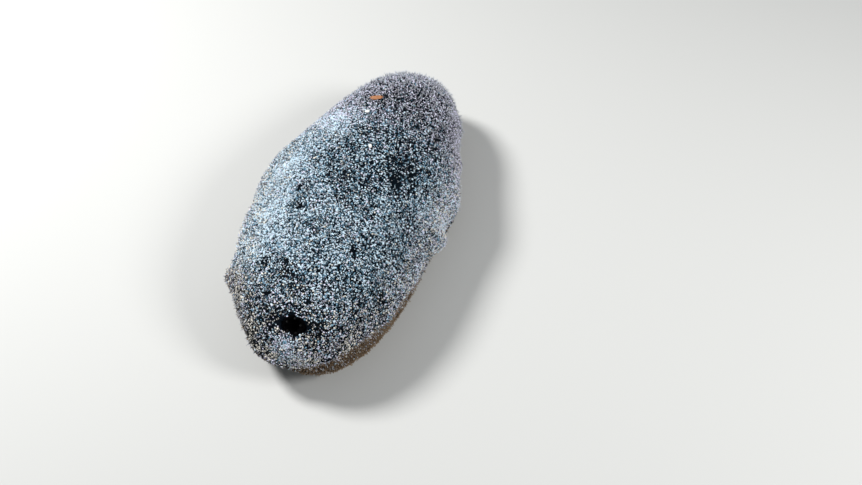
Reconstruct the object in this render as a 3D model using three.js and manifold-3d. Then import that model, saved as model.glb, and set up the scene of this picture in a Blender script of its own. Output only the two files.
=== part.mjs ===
// A life-size black teatfish, a loaf-shaped sea cucumber about 280 mm long, lying on its flat creeping sole.
// Frame: millimetres, +X from the hind end towards the head end, +Y to the animal's left, +Z up, origin on
// the floor under the middle of the body. The body is modelled whole by one function and parted with thin
// cuts into five lengths, three lengths of sole and the side teats. The hind opening and the mouth are pieces
// of their own.
import * as THREE from "three";
import { mergeVertices } from "three/addons/utils/BufferGeometryUtils.js";
import Module from "manifold-3d";

const wasm = await Module();
wasm.setup();

// Driving dimensions of the body
const BODY_LENGTH = 280;
const BODY_WIDTH = 135.4; // without the swell of the flanks
const MARGIN_HEIGHT = 26; // floor to the widest level of the flanks
const BACK_RISE = 58; // widest level to the top of the back
const BELLY_SAG = 4; // how far the belly curve runs below the floor before the sole flattens it
const HEAD_TAPER = -0.15; // share by which the head half narrows and the hind half widens
const SIDE_BEND = 7.9; // sideways bow of the middle, to the animal's left
const SIDE_SWAY = -5.98; // second, S-shaped bow

// Roundness of the outlines: 2 is an ellipse, more is blunter
const HIND_ROUNDNESS = 2.12;
const HEAD_ROUNDNESS = 2.67;
const BACK_ARCH = { fall: 2.25, root: 2.35 };
const BACK_SECTION = 2.1;
const BELLY_SECTION = 3.0;
const BELLY_END_RISE = 4;

// The broad swell of each flank, the full left corner of the hind end, which stands out backwards and
// sideways, the low swellings of the back, and the shallow dip behind the head
const FLANK_SWELL = { left: { reach: 6.5, at: 0.05 }, right: { reach: 8, at: 0.185 }, width: 0.2 };
const HIND_CORNER = { back: 3.2, side: 1.8, at: -0.974, width: 0.05, turn: 0.2, spread: 0.6 };
const SWELLING = { height: 1.1, along: 41, across: 33 };
const NAPE_DIP = { depth: 1.2, at: 0.5, width: 0.18 };

// The side teats: low cones along the margin, half drawn in
const TEAT = {
  spacing: 0.27, // of half the body length
  first: { left: -0.647, right: -0.635 },
  reach: { left: [6.1, 2.0, 2.0, 3.2, 2.9, 3.0], right: [3.1, 2.0, 9.0, 2.0, 3.0, 2.0] },
  length: 0.07, // of half the body length
  turn: 0.21, // radians round the section
  lift: 0.12, // radians above the margin
};
const TEAT_BLOCK = { along: 27, tall: 27, inward: 5, outward: 14 };

// Cuts
const CUT = 0.35; // width of each thin cut
const SOLE_THICKNESS = 7;
const LENGTH_CUTS = [-92, -36, 36, 92];
const LENGTH_NAMES = ["hind_end", "trunk_rear", "trunk_middle", "trunk_front", "head_end"];
const SOLE_CUTS = [-50, 50];
const SOLE_NAMES = ["sole_rear", "sole_middle", "sole_front"];

// The hind opening, set in the upper face of the hind end, a little to the right of the middle
const VENT = {
  at: -0.892,
  turn: Math.PI / 2 + 0.108,
  socket: 8.6,
  depth: 10.5,
  rim: 8.2,
  throat: 4.8,
  floor: 3.4,
};
const VENT_LIP = 1.1;
const VENT_PAPILLAE = { count: 5, radius: 1.4, stretch: 1.1, raised: 0.9 };
// The mouth, under the head end, with its tentacles drawn in
const MOUTH = {
  at: 0.86,
  turn: -Math.PI / 2,
  socket: 11.4,
  depth: 8,
  collar: 11,
  hole: 7.6,
  lip: 0.9,
  crown: 7.2, // radius of the ring of tentacles
  sunk: 3, // how far the tentacles' disc lies inside
};
const SHIELDS = { count: 20, radius: 1.45, stretch: 1.5, inset: [1.6, 4.2], sunk: [2.6, 2.2] };
const PLUG_RISE = 6; // how far the cutting plug of a socket stands out of the body

// Mesh steps, closer along the margins than over the back
const RINGS = 58;
const SECTORS = 34;
const MARGIN_CROWDING = 0.25;
const LATHE_STEPS = 20;
const LIP_STEPS = 4;

const HALF = BODY_LENGTH / 2;
const mix = (a, b, share) => a + (b - a) * share;
const bell = (x, middle, width) => Math.exp(-(((x - middle) / width) ** 2));

// The signed angle from one turn to another, at most half a turn either way.
const turnFrom = (turn, middle) => Math.atan2(Math.sin(turn - middle), Math.cos(turn - middle));

// Half the body's width at a station, from -1 at the hind tip to 1 at the head tip.
function halfWidth(station) {
  const roundness = mix(HIND_ROUNDNESS, HEAD_ROUNDNESS, THREE.MathUtils.smoothstep(station, -0.5, 0.5));
  return (BODY_WIDTH / 2) * (1 - station ** 2) ** (1 / roundness) * (1 + HEAD_TAPER * station);
}

// Sideways place of the body's midline.
function midline(station) {
  return (1 - station ** 2) * (SIDE_BEND + SIDE_SWAY * station);
}

// How far the teats stand out where the section is turned by this angle, 0 at the left margin.
function teatReach(station, turn) {
  let reach = 0;
  for (const [side, middle] of [["left", TEAT.lift], ["right", Math.PI - TEAT.lift]]) {
    const away = turnFrom(turn, middle);
    TEAT.reach[side].forEach((height, i) => {
      const at = TEAT.first[side] + i * TEAT.spacing;
      reach += height * bell(station, at, TEAT.length) * bell(away, 0, TEAT.turn);
    });
  }
  return reach;
}

// A point of the body's surface.
function bodyPoint(station, turn) {
  const across = Math.cos(turn);
  const up = Math.sin(turn);
  const flank = across >= 0 ? FLANK_SWELL.left : FLANK_SWELL.right;
  const swell = flank.reach * bell(station, flank.at, FLANK_SWELL.width) * Math.sqrt(Math.abs(across));
  const power = up >= 0 ? BACK_SECTION : BELLY_SECTION;
  const square = (Math.abs(across) ** power + Math.abs(up) ** power) ** (-1 / power);
  const dome = (1 - Math.abs(station) ** BACK_ARCH.fall) ** (1 / BACK_ARCH.root);
  const cornerTurn = turnFrom(turn, HIND_CORNER.turn);
  const corner = bell(station, HIND_CORNER.at, HIND_CORNER.width) * bell(cornerTurn, 0, HIND_CORNER.spread);
  const x = HALF * station - HIND_CORNER.back * corner;
  let y = midline(station) + ((halfWidth(station) + swell) * square + teatReach(station, turn)) * across;
  y += HIND_CORNER.side * corner;
  let z;
  if (up >= 0) {
    const swelling = SWELLING.height * Math.sin(x / SWELLING.along + 1) * Math.cos(y / SWELLING.across - 0.5);
    const dip = NAPE_DIP.depth * bell(station, NAPE_DIP.at, NAPE_DIP.width);
    z = MARGIN_HEIGHT + (BACK_RISE + swelling - dip) * dome * up * square;
  } else {
    const belly = (MARGIN_HEIGHT + BELLY_SAG) * Math.sqrt(1 - station ** BELLY_END_RISE);
    z = Math.max(0, MARGIN_HEIGHT + belly * up * square);
  }
  return new THREE.Vector3(x, y, z);
}

// The outward normal of the body's surface.
function bodyNormal(station, turn) {
  const step = 1e-3;
  const along = bodyPoint(station + step, turn).sub(bodyPoint(station - step, turn));
  const round = bodyPoint(station, turn + step).sub(bodyPoint(station, turn - step));
  return along.cross(round).normalize().negate();
}

// The whole body as one closed mesh: rings of points between a point at each tip.
function bodyGeometry() {
  const points = [bodyPoint(-1, 0)];
  for (let i = 1; i < RINGS; i++) {
    const share = i / RINGS;
    const station = (2 * share - 1 - Math.cos(Math.PI * share)) / 2;
    for (let j = 0; j < SECTORS; j++) {
      const even = (2 * Math.PI * j) / SECTORS;
      points.push(bodyPoint(station, even - MARGIN_CROWDING * Math.sin(2 * even)));
    }
  }
  points.push(bodyPoint(1, 0));
  const last = points.length - 1;
  const at = (i, j) => 1 + (i - 1) * SECTORS + (j % SECTORS);
  const faces = [];
  for (let j = 0; j < SECTORS; j++) {
    faces.push(0, at(1, j), at(1, j + 1));
    for (let i = 1; i < RINGS - 1; i++) {
      faces.push(at(i, j), at(i + 1, j), at(i + 1, j + 1));
      faces.push(at(i, j), at(i + 1, j + 1), at(i, j + 1));
    }
    faces.push(last, at(RINGS - 1, j + 1), at(RINGS - 1, j));
  }
  return new THREE.BufferGeometry().setFromPoints(points).setIndex(faces);
}

// A closed geometry as a solid that can be joined and cut.
function solidOf(geometry) {
  const bare = geometry.clone();
  bare.deleteAttribute("normal");
  bare.deleteAttribute("uv");
  const merged = mergeVertices(bare, 1e-3);
  const triVerts = new Uint32Array(merged.index.array);
  const vertProperties = merged.attributes.position.array;
  const solid = new wasm.Manifold(new wasm.Mesh({ numProp: 3, vertProperties, triVerts }));
  if (solid.volume() > 0) return solid;
  for (let i = 0; i < triVerts.length; i += 3) {
    const second = triVerts[i + 1];
    triVerts[i + 1] = triVerts[i + 2];
    triVerts[i + 2] = second;
  }
  return new wasm.Manifold(new wasm.Mesh({ numProp: 3, vertProperties, triVerts }));
}

// A joined and cut solid as a geometry.
function geometryOf(solid) {
  const mesh = solid.getMesh();
  const geometry = new THREE.BufferGeometry();
  geometry.setAttribute("position", new THREE.BufferAttribute(new Float32Array(mesh.vertProperties), 3));
  geometry.setIndex(new THREE.BufferAttribute(new Uint32Array(mesh.triVerts), 1));
  geometry.computeVertexNormals();
  return geometry;
}

function boxSolid(low, high) {
  const size = new THREE.Vector3().subVectors(high, low);
  const middle = new THREE.Vector3().addVectors(low, high).multiplyScalar(0.5);
  return solidOf(new THREE.BoxGeometry(size.x, size.y, size.z).translate(middle.x, middle.y, middle.z));
}

// A slab across the body between two places along it, above or below the sole's cut.
function slab(from, to, above) {
  const low = new THREE.Vector3(from, -BODY_WIDTH, above ? SOLE_THICKNESS + CUT : -1);
  const high = new THREE.Vector3(to, BODY_WIDTH, above ? BODY_WIDTH : SOLE_THICKNESS);
  return boxSolid(low, high);
}

// Matrix that stands a shape's +Y axis on the body's surface, pointing out.
function standOn(station, turn) {
  const normal = bodyNormal(station, turn);
  const spin = new THREE.Quaternion().setFromUnitVectors(new THREE.Vector3(0, 1, 0), normal);
  return new THREE.Matrix4().compose(bodyPoint(station, turn), spin, new THREE.Vector3(1, 1, 1));
}

// The block round one teat, grown by some margin on every side.
function teatBlock(side, index, grow) {
  const station = TEAT.first[side] + index * TEAT.spacing;
  const turn = side === "left" ? 0 : Math.PI;
  const outward = bodyNormal(station, turn).setZ(0).normalize();
  const margin = new THREE.Vector3(
    HALF * station,
    midline(station) + halfWidth(station) * Math.cos(turn),
    MARGIN_HEIGHT + BACK_RISE * Math.sin(TEAT.lift),
  );
  const deep = TEAT_BLOCK.inward + TEAT_BLOCK.outward;
  const size = [TEAT_BLOCK.along, deep, TEAT_BLOCK.tall].map((length) => length + 2 * grow);
  const shape = new THREE.BoxGeometry(...size);
  shape.translate(0, deep / 2 - TEAT_BLOCK.inward, 0);
  const spin = new THREE.Quaternion().setFromUnitVectors(new THREE.Vector3(0, 1, 0), outward);
  return solidOf(shape.applyMatrix4(new THREE.Matrix4().compose(margin, spin, new THREE.Vector3(1, 1, 1))));
}

// A round plug that cuts a socket into the body.
function plug(radius, depth, height, place) {
  const shape = new THREE.CylinderGeometry(radius, radius, depth + height, LATHE_STEPS);
  return solidOf(shape.translate(0, (height - depth) / 2, 0).applyMatrix4(place));
}

// A ring with a rounded lip, as wide as its socket, narrowing inwards to its throat.
function ringSolid(outer, throat, floor, depth, lip, place) {
  const rounding = (outer - throat) / 2;
  const profile = [new THREE.Vector2(floor, -depth), new THREE.Vector2(outer, -depth)];
  for (let i = 0; i <= LIP_STEPS; i++) {
    const angle = (Math.PI * i) / LIP_STEPS;
    profile.push(new THREE.Vector2(throat + rounding * (1 + Math.cos(angle)), lip * Math.sin(angle)));
  }
  profile.push(profile[0].clone());
  return solidOf(new THREE.LatheGeometry(profile, LATHE_STEPS).applyMatrix4(place));
}

// Small blunt papillae round the hind opening.
function ventPapillae(place) {
  const found = [];
  for (let i = 0; i < VENT_PAPILLAE.count; i++) {
    const angle = (2 * Math.PI * i) / VENT_PAPILLAE.count;
    const radius = (VENT.rim + VENT.throat) / 2;
    const papilla = new THREE.SphereGeometry(VENT_PAPILLAE.radius, 6, 4).scale(1, VENT_PAPILLAE.stretch, 1);
    papilla.translate(radius * Math.cos(angle), VENT_PAPILLAE.raised, radius * Math.sin(angle));
    found.push(solidOf(papilla.applyMatrix4(place)));
  }
  return found;
}

// The drawn-in tentacles: two rings of blunt shields on a low disc.
function tentacleCrown(place) {
  const base = new THREE.CylinderGeometry(MOUTH.crown, MOUTH.crown, MOUTH.depth - MOUTH.sunk, LATHE_STEPS);
  let crown = solidOf(base.translate(0, -(MOUTH.depth + MOUTH.sunk) / 2 + CUT, 0).applyMatrix4(place));
  for (let i = 0; i < SHIELDS.count; i++) {
    const ring = i % 2;
    const angle = (2 * Math.PI * i) / SHIELDS.count;
    const radius = MOUTH.crown - SHIELDS.inset[ring];
    const shield = new THREE.SphereGeometry(SHIELDS.radius, 6, 3).scale(1, SHIELDS.stretch, 1);
    shield.translate(radius * Math.cos(angle), -SHIELDS.sunk[ring], radius * Math.sin(angle));
    crown = crown.add(solidOf(shield.applyMatrix4(place)));
  }
  return crown;
}

// Finishes, one for each kind of surface
const FINISHES = {
  back: new THREE.MeshStandardMaterial({ color: 0x5d6468, roughness: 0.85, metalness: 0 }),
  sole: new THREE.MeshStandardMaterial({ color: 0x8a7f70, roughness: 0.8, metalness: 0 }),
  teats: new THREE.MeshStandardMaterial({ color: 0x7d8183, roughness: 0.85, metalness: 0 }),
  openings: new THREE.MeshStandardMaterial({ color: 0x16171a, roughness: 0.55, metalness: 0 }),
};

const animal = new THREE.Group();

function addPiece(name, solid, finish) {
  const mesh = new THREE.Mesh(geometryOf(solid), FINISHES[finish]);
  mesh.name = name;
  animal.add(mesh);
}

const whole = solidOf(bodyGeometry());
const ventPlace = standOn(VENT.at, VENT.turn);
const mouthPlace = standOn(MOUTH.at, MOUTH.turn);
const ventSocket = plug(VENT.socket, VENT.depth, PLUG_RISE, ventPlace);
const mouthSocket = plug(MOUTH.socket, MOUTH.depth, PLUG_RISE, mouthPlace);

// What is taken out of the lengths: the two sockets and the blocks of the teats
let removed = ventSocket.add(mouthSocket);
for (const side of ["left", "right"]) {
  TEAT.reach[side].forEach((_, i) => {
    addPiece(`teat_${side}_${i + 1}`, whole.intersect(teatBlock(side, i, 0)), "teats");
    removed = removed.add(teatBlock(side, i, CUT));
  });
}

const fleshed = whole.subtract(removed);

// The lengths of the body or of the sole, parted by thin cuts.
function addLengths(names, cuts, above, finish) {
  const ends = [-BODY_LENGTH, ...cuts, BODY_LENGTH];
  names.forEach((name, i) => {
    addPiece(name, fleshed.intersect(slab(ends[i] + CUT / 2, ends[i + 1] - CUT / 2, above)), finish);
  });
}
addLengths(LENGTH_NAMES, LENGTH_CUTS, true, "back");
addLengths(SOLE_NAMES, SOLE_CUTS, false, "sole");

let rim = ringSolid(VENT.rim, VENT.throat, VENT.floor, VENT.depth - CUT, VENT_LIP, ventPlace);
for (const papilla of ventPapillae(ventPlace)) rim = rim.add(papilla);
addPiece("vent_rim", rim, "openings");

const collar = ringSolid(MOUTH.collar, MOUTH.hole, MOUTH.hole, MOUTH.depth - CUT, MOUTH.lip, mouthPlace);
addPiece("mouth_collar", collar, "openings");
addPiece("tentacle_crown", tentacleCrown(mouthPlace), "openings");

export default animal;
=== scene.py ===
"""A life-size black teatfish, a loaf-shaped sea cucumber that lies on its flat sole, dusted with coral sand.

One closed skin stands for all the fleshy solids. Over it lie the grains of sand, the fine papillae of the
back and the tube feet of the sole, each of them real mesh. The two openings are pieces of their own.
Everything is in metres: +X from the hind end to the head end, +Y to the animal's left, +Z up, floor at zero.
"""

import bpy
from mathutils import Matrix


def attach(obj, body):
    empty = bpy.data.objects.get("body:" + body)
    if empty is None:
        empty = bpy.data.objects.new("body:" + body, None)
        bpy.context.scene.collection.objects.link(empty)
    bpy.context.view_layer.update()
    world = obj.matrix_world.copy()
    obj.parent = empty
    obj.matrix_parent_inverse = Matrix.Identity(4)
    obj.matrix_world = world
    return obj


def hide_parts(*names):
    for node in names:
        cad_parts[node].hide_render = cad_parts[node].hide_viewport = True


bl_info = {
    "name": "Black teatfish, life size",
    "version": (1, 0, 0),
    "blender": (4, 5, 0),
    "location": "View3D > Sidebar > Teatfish",
    "description": "Builds a black teatfish: its skin, sand, papillae, tube feet, openings and stage",
    "category": "Add Mesh",
}

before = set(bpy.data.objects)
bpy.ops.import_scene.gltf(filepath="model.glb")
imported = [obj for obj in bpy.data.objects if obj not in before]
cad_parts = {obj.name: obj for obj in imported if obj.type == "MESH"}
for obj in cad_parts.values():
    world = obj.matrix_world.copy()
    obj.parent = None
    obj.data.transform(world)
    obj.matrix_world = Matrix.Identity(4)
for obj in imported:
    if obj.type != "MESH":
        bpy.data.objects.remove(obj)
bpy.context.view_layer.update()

import itertools
import math

import bmesh
import bpy
import numpy as np
from bpy.props import FloatProperty, FloatVectorProperty, IntProperty, PointerProperty
from mathutils import Vector
from mathutils.kdtree import KDTree

MM = 0.001

# Driving dimensions of the body, the same as the solids have
BODY_LENGTH = 280 * MM
BODY_WIDTH = 135.4 * MM
MARGIN_HEIGHT = 26 * MM
BACK_RISE = 58 * MM
BELLY_SAG = 4 * MM
HEAD_TAPER = -0.15
SIDE_BEND = 7.9 * MM
SIDE_SWAY = -5.98 * MM
HIND_ROUNDNESS = 2.12
HEAD_ROUNDNESS = 2.67
BACK_ARCH = {"fall": 2.25, "root": 2.35}
BACK_SECTION = 2.1
BELLY_SECTION = 3.0
BELLY_END_RISE = 4
FLANK_SWELL = {"left": (6.5 * MM, 0.05), "right": (8 * MM, 0.185), "width": 0.2}
HIND_CORNER = {"back": 3.2 * MM, "side": 1.8 * MM, "at": -0.974, "width": 0.05, "turn": 0.2, "spread": 0.6}
SWELLING = {"height": 1.1 * MM, "along": 41 * MM, "across": 33 * MM}
NAPE_DIP = {"depth": 1.2 * MM, "at": 0.5, "width": 0.18}
TEAT = {"spacing": 0.27, "length": 0.07, "turn": 0.21, "lift": 0.12}
TEAT_FIRST = {"left": -0.647, "right": -0.635}
TEAT_REACH = {"left": (6.1, 2.0, 2.0, 3.2, 2.9, 3.0), "right": (3.1, 2.0, 9.0, 2.0, 3.0, 2.0)}  # mm

# The two openings: the station and turn of each, and the sizes of its circles
VENT_PLACE = (-0.892, math.pi / 2 + 0.108)
VENT = {"rim": 7.9 * MM, "lip": 6.4 * MM, "throat": 4.8 * MM, "depth": 8.6 * MM, "pit": 10.4 * MM}
VENT_STRETCH = 1.16
MOUTH_PLACE = (0.86, -math.pi / 2)
MOUTH = {"rim": 11 * MM, "lip": 9.4 * MM, "hole": 7.4 * MM, "depth": 6.5 * MM, "pit": 9 * MM}
TENTACLES = 20

# Rings of each lining, from its rim inwards: the circle that the ring keeps to, how far outside it in mm, its
# height in mm, and the depth of its folds as a share
VENT_RINGS = (
    ("rim", 0.6, -3.4, 0.02), ("rim", 0, -2.6, 0.05), ("rim", -0.7, -2.1, 0.07), ("lip", 0.6, -1.7, 0.09),
    ("lip", 0, -1.6, 0.1), ("lip", -0.7, -1.7, 0.11), ("throat", 0.7, -2.1, 0.12), ("throat", 0, -2.8, 0.13),
    ("throat", -0.5, -3.8, 0.14), ("throat", -1.1, -5.2, 0.15), ("throat", -2.0, -6.8, 0.16),
    ("throat", -3.4, -8.2, 0.18),
)
MOUTH_RINGS = (
    ("rim", 0.7, -2.4, 0.02), ("rim", 0, -1.5, 0.04), ("rim", -0.7, -0.7, 0.06), ("lip", 0, -0.3, 0.07),
    ("lip", -0.8, -0.4, 0.08), ("hole", 0.4, -1.0, 0.08), ("hole", 0, -2.0, 0.07), ("hole", -0.3, -3.6, 0.05),
    ("hole", -0.9, -5.2, 0.03), ("hole", -2.6, -6.2, 0.02),
)

# How deep the skin lies in the solids, how much deeper on the sole, and the heights and depths of its relief
SKIN_DEPTH = 1.0 * MM
SOLE_DEPTH = 0.35 * MM
RELIEF = {"swell": 0.3 * MM, "lump": 0.16 * MM, "spot": 0.7 * MM, "crest": 1.1 * MM, "undercut": 0.6 * MM}
VENT_DIP = 0.9 * MM

# Bare spots in the sand: station, turn, and radius in mm. The last one, by the end of the shell flake, is a
# painted shadow of the flake, made by baring the black hide
BARE_SPOTS = (
    (-0.243, 1.24, 3.6), (-0.35, 1.33, 3.0), (-0.659, 1.11, 4.2), (-0.636, 1.39, 2.2), (-0.789, 1.2, 2.6),
    (-0.479, 2.06, 2.6), (-0.629, 1.8, 1.7), (-0.6, 2.65, 4.2), (0.3, 2.34, 3.4), (0.214, 1.96, 2.4),
    (-0.021, 2.1, 5.5), (0.036, 2.24, 3.4), (-0.064, 1.97, 3.0), (0.25, 2.4, 2.6), (0.48, 1.53, 2.0),
)

# Broad differences in how thick the sand lies: along, across, radius in mm, and change in cover
SAND_DRIFTS = (
    (-78, 40, 18, 0.46), (-48, 46, 18, 0.54), (-14, 48, 18, 0.58), (34, 36, 18, 0.56), (-44, 12, 12, 0.18),
    (-2, -31, 14, -0.26), (24, -36, 26, -0.16), (78, -12, 34, -0.2), (-62, 0, 28, 0.06), (-8, -61, 16, 0.44),
    (22, -58, 12, 0.26), (-28, -24, 10, 0.14), (4, 22, 14, -0.12), (-44, 26, 8, -0.2), (-16, -4, 12, -0.12),
    (-92, -20, 22, 0.08), (-127, 40, 20, -0.18), (-35, -66, 16, -0.2), (-98, 14, 11, -0.14),
    (-113, 24, 12, 0.12), (-136, -6, 12, 0.34), (-76, 18, 10, 0.12),
)

# The hues of the sand, each with the colour of its darkest grains. The palest ones are settings
SAND_DARKS = {"blue": "#04101a", "slate": "#050d16", "lilac": "#0a0a14", "cream": "#100f0d"}

# What lies loose on the back: name, station, turn, half length and half width in mm, two colours and slot
FLAKES = (
    ("shell_flake", 0.485, 1.405, 5.1, 2.0, "#64371f", "#cc936b", "shell"),
    ("white_chip_front", 0.343, 1.45, 1.8, 1.3, "#d8dad6", "#f4f5f2", "sand"),
    ("white_chip_middle", 0.099, 1.72, 1.2, 1.6, "#d8dad6", "#f4f5f2", "sand"),
)
FLAKE_THICKNESS = 1.1 * MM
FLAKE_AXIS = (-0.216, 0.976, 0.0)

PIECE_LIMIT = 200_000
PATCH_SIZE = 0.003
PATCH_MARGIN = 0.002
FLOOR_GAP = 0.02 * MM
HASH_PRIMES = (73856093, 19349663, 83492791)
UP = np.array((0.0, 0.0, 1.0))


def bell(x, middle, width):
    """A smooth hump, 1 at its middle."""
    return np.exp(-(((x - middle) / width) ** 2))


def smoothstep(low, high, x):
    """0 below low, 1 above high, with a smooth rise between them."""
    share = np.clip((x - low) / (high - low), 0, 1)
    return share * share * (3 - 2 * share)


def turn_from(turn, middle):
    """The signed angle from one turn to another, at most half a turn either way."""
    return np.arctan2(np.sin(turn - middle), np.cos(turn - middle))


def circle(count, start=0.0):
    """The angles of points spread evenly round a circle, and the points, one unit from its middle."""
    angle = 2 * math.pi * (np.arange(count) + start) / count
    return angle, np.stack((np.cos(angle), np.sin(angle), np.zeros(count)), axis=-1)


def lattice_noise(points, cell, seed):
    """Smooth noise from -1 to 1, with features about one cell across."""
    scaled = points / cell
    base = np.floor(scaled).astype(np.int64)
    share = scaled - base
    share = share * share * (3 - 2 * share)
    total = np.zeros(scaled.shape[:-1])
    for corner in itertools.product((0, 1), repeat=3):
        spot = (base + np.array(corner)) * np.array(HASH_PRIMES)
        mixed = spot[..., 0] ^ spot[..., 1] ^ spot[..., 2] ^ (seed * 7919)
        mixed = ((mixed ^ (mixed >> 13)) * 1274126177) & 0xFFFFFFFF
        mixed = (mixed ^ (mixed >> 16)) & 0xFFFF
        weight = np.where(np.array(corner) == 1, share, 1 - share).prod(axis=-1)
        total += weight * (mixed / 0x7FFF - 1)
    return total


def body_point(station, turn):
    """A point of the outline out to the tips of the coat. Station is -1 at the hind tip and 1 at the head
    tip; turn goes round the section from the left margin over the back."""
    across = np.cos(turn)
    up = np.sin(turn)
    inside = np.clip(1 - station**2, 0, None)
    roundness = HIND_ROUNDNESS + (HEAD_ROUNDNESS - HIND_ROUNDNESS) * smoothstep(-0.5, 0.5, station)
    half_width = BODY_WIDTH / 2 * inside ** (1 / roundness) * (1 + HEAD_TAPER * station)
    left = FLANK_SWELL["left"][0] * bell(station, FLANK_SWELL["left"][1], FLANK_SWELL["width"])
    right = FLANK_SWELL["right"][0] * bell(station, FLANK_SWELL["right"][1], FLANK_SWELL["width"])
    swell = np.where(across >= 0, left, right) * np.sqrt(np.abs(across))
    power = np.where(up >= 0, BACK_SECTION, BELLY_SECTION)
    square = (np.abs(across) ** power + np.abs(up) ** power) ** (-1 / power)
    dome = np.clip(1 - np.abs(station) ** BACK_ARCH["fall"], 0, None) ** (1 / BACK_ARCH["root"])
    corner = bell(station, HIND_CORNER["at"], HIND_CORNER["width"])
    corner = corner * bell(turn_from(turn, HIND_CORNER["turn"]), 0, HIND_CORNER["spread"])
    teats = 0
    for side, middle in (("left", TEAT["lift"]), ("right", math.pi - TEAT["lift"])):
        away = bell(turn_from(turn, middle), 0, TEAT["turn"])
        for i, reach in enumerate(TEAT_REACH[side]):
            at = TEAT_FIRST[side] + i * TEAT["spacing"]
            teats = teats + reach * MM * bell(station, at, TEAT["length"]) * away
    x = BODY_LENGTH / 2 * station - HIND_CORNER["back"] * corner
    midline = inside * (SIDE_BEND + SIDE_SWAY * station)
    y = midline + ((half_width + swell) * square + teats) * across + HIND_CORNER["side"] * corner
    swelling = SWELLING["height"] * np.sin(x / SWELLING["along"] + 1) * np.cos(y / SWELLING["across"] - 0.5)
    dip = NAPE_DIP["depth"] * bell(station, NAPE_DIP["at"], NAPE_DIP["width"])
    back = MARGIN_HEIGHT + (BACK_RISE + swelling - dip) * dome * up * square
    belly = (MARGIN_HEIGHT + BELLY_SAG) * np.sqrt(np.clip(1 - station**BELLY_END_RISE, 0, None))
    sole = np.maximum(0, MARGIN_HEIGHT + belly * up * square)
    return np.stack(np.broadcast_arrays(x, y, np.where(up >= 0, back, sole)), axis=-1)


def body_frame(station, turn):
    """The outline's point, and its unit directions along the body, round it and outwards."""
    step = 1e-3
    inner = np.clip(station, -0.998, 0.998)
    along = body_point(inner + step, turn) - body_point(inner - step, turn)
    around = body_point(inner, turn + step) - body_point(inner, turn - step)
    along /= np.linalg.norm(along, axis=-1, keepdims=True)
    outward = np.cross(around, along)
    outward /= np.linalg.norm(outward, axis=-1, keepdims=True)
    return body_point(station, turn), along, np.cross(outward, along), outward


def over_crest(station, turn):
    """How far a turn is above the edge of the sanded back, in radians, less than nothing below it. The edge
    runs just above the widest level, and higher towards the hind end."""
    lift = np.arctan2(np.sin(turn), np.abs(np.cos(turn)))
    return lift - (0.1 + 0.5 * np.clip(-station - 0.5, 0, None))


def hind_right(station, turn):
    """1 along the hind half of the right margin, where the crest stands up over a bare tan flank."""
    return smoothstep(-0.22, -0.62, station) * smoothstep(-0.3, -0.75, np.cos(turn))


def opening_distance(points, place, stretch=1.0):
    """How far points are from the axis of an opening, in metres. A stretch over 1 makes lines of equal
    distance wider across the body than along it. Points deep inside or far outside count as far away."""
    centre, along, around, axis = body_frame(*place)
    away = points - centre
    apart = np.hypot(away @ along * stretch, away @ around / stretch)
    return apart + 10 * np.clip(np.abs(away @ axis) - 12 * MM, 0, None)


def spots_on_back(points, outward):
    """1 in the middle of each bare spot of the back, 0 away from them."""
    total = np.zeros(points.shape[:-1])
    ragged = 1 + 0.35 * lattice_noise(points, 3 * MM, 6)
    for station, turn, radius in BARE_SPOTS:
        away = np.linalg.norm(points - body_point(station, turn), axis=-1)
        total = np.maximum(total, bell(away * ragged, 0, radius * MM))
    thinned = 0.85 + 0.25 * lattice_noise(points, 1.8 * MM, 7)
    return smoothstep(0.15, 0.75, total) * thinned * smoothstep(0.0, 0.3, outward[..., 2])


def skin_relief(station, turn, points, outward):
    """How far the skin stands out from the solids' outline: less than nothing, as it lies inside them."""
    relief = -SKIN_DEPTH - SOLE_DEPTH * smoothstep(-0.5, -0.9, outward[..., 2])
    relief += RELIEF["swell"] * lattice_noise(points, 24 * MM, 1)
    relief += RELIEF["lump"] * lattice_noise(points, 8 * MM, 2)
    # Fine creases run along the body, and are deeper below the crest
    creases = 1 - np.abs(lattice_noise(points * np.array((1.0, 0.34, 0.5)), 4.6 * MM, 3))
    over = over_crest(station, turn)
    relief -= (0.16 + 0.3 * smoothstep(0.1, -0.2, over)) * MM * creases**3
    relief -= RELIEF["spot"] * spots_on_back(points, outward)
    crest = RELIEF["crest"] * bell(over, 0.02, 0.055) * (0.6 + 0.4 * lattice_noise(points, 7 * MM, 4))
    relief += hind_right(station, turn) * (crest - RELIEF["undercut"] * bell(over, -0.12, 0.07))
    # A pit takes the lining of each opening
    vent_away = opening_distance(points, VENT_PLACE, VENT_STRETCH)
    vent_away = vent_away + 1.1 * MM * lattice_noise(points, 2.8 * MM, 5)
    relief -= VENT["pit"] * smoothstep(VENT["rim"] - 0.6 * MM, VENT["rim"] - 3.2 * MM, vent_away)
    relief -= VENT_DIP * bell(vent_away, 0, 14 * MM)
    mouth_away = opening_distance(points, MOUTH_PLACE)
    relief -= MOUTH["pit"] * smoothstep(MOUTH["rim"] - 0.3 * MM, MOUTH["rim"] - 2.4 * MM, mouth_away)
    return relief


def on_skin(station, turn):
    """The skin's point at a station and turn, and the outline's outward direction there."""
    points, _, _, outward = body_frame(station, turn)
    return points + outward * skin_relief(station, turn, points, outward)[..., None], outward


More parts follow.
